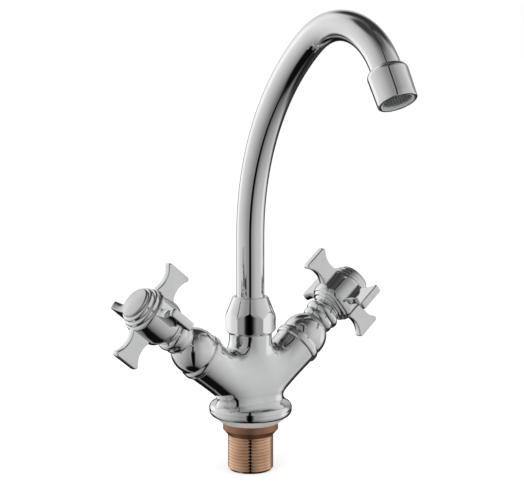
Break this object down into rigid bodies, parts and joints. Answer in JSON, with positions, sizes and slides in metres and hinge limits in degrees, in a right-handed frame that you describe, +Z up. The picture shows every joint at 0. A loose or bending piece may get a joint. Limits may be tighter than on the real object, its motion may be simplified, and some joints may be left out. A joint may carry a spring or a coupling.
{
  "type": "two handle kitchen faucet",
  "caption": "Chrome kitchen mixer tap with a tall swivelling swan-neck spout, cross handles on angled valve arms, a round base flange and a threaded brass shank.",
  "frame": {"origin": "centre of the tap hole, on the deck surface that the tap stands on", "axes": "+Z up along the shank and the spout swivel; the spout points to -Y at rest; the hot valve leans out to -X and the cold valve to +X"},
  "size_m": [0.1938, 0.1765, 0.2784],
  "materials": {
    "chrome_body": "polished chrome plate on cast brass",
    "chrome_trim": "polished chrome plate on turned brass",
    "chrome_tube": "polished chrome plate on drawn tube",
    "chrome_handle": "polished chrome plate on die-cast handle",
    "chrome_cap": "satin chrome",
    "raw_brass": "bare reddish brass, machined thread",
    "machined_brass": "bare machined brass",
    "gasket_rubber": "pale rubber",
    "black_rubber": "black rubber",
    "white_plastic": "matte white plastic",
    "grey_plastic": "matte light grey plastic",
    "ceramic": "lapped white ceramic",
    "spring_steel": "plain steel",
    "steel_screen": "fine woven steel"
  },
  "bodies": {
    "tap_body": {"mixer_body": "chrome_body", "base_flange": "chrome_trim", "base_gasket": "gasket_rubber", "threaded_shank": "raw_brass", "spout_nut": "chrome_trim", "spout_slip_ring": "white_plastic", "hot_bonnet": "machined_brass", "hot_valve_shroud": "chrome_trim", "hot_neck_bead": "chrome_trim", "hot_bonnet_washer": "black_rubber", "hot_seat_seal": "black_rubber", "hot_fixed_disc": "ceramic", "cold_bonnet": "machined_brass", "cold_valve_shroud": "chrome_trim", "cold_neck_bead": "chrome_trim", "cold_bonnet_washer": "black_rubber", "cold_seat_seal": "black_rubber", "cold_fixed_disc": "ceramic"},
    "spout": {"spout_tube": "chrome_tube", "spout_bush": "machined_brass", "lower_spout_o_ring": "black_rubber", "upper_spout_o_ring": "black_rubber", "aerator_adapter": "machined_brass", "aerator_shell": "chrome_trim", "aerator_washer": "black_rubber", "aerator_insert": "grey_plastic", "aerator_screen": "steel_screen"},
    "hot_handle": {"hot_spindle": "machined_brass", "hot_moving_disc": "ceramic", "hot_stem_seal": "black_rubber", "hot_stem_clip": "spring_steel", "hot_cross_handle": "chrome_handle", "hot_handle_screw": "spring_steel", "hot_cap_ring": "chrome_handle", "hot_index_cap": "chrome_cap"},
    "cold_handle": {"cold_spindle": "machined_brass", "cold_moving_disc": "ceramic", "cold_stem_seal": "black_rubber", "cold_stem_clip": "spring_steel", "cold_cross_handle": "chrome_handle", "cold_handle_screw": "spring_steel", "cold_cap_ring": "chrome_handle", "cold_index_cap": "chrome_cap"}
  },
  "joints": [
    {"name": "spout_swivel", "type": "hinge", "parent": "tap_body", "child": "spout", "pos_m": [0, 0, 0.0665], "axis": [0, 0, 1], "continuous": true},
    {"name": "hot_handle_turn", "type": "hinge", "parent": "tap_body", "child": "hot_handle", "pos_m": [-0.05394, 0, 0.05972], "axis": [-0.7705, 0, 0.6374], "range_deg": [0, 90]},
    {"name": "cold_handle_turn", "type": "hinge", "parent": "tap_body", "child": "cold_handle", "pos_m": [0.05394, 0, 0.05972], "axis": [0.7705, 0, 0.6374], "range_deg": [-90, 0]}
  ]
}
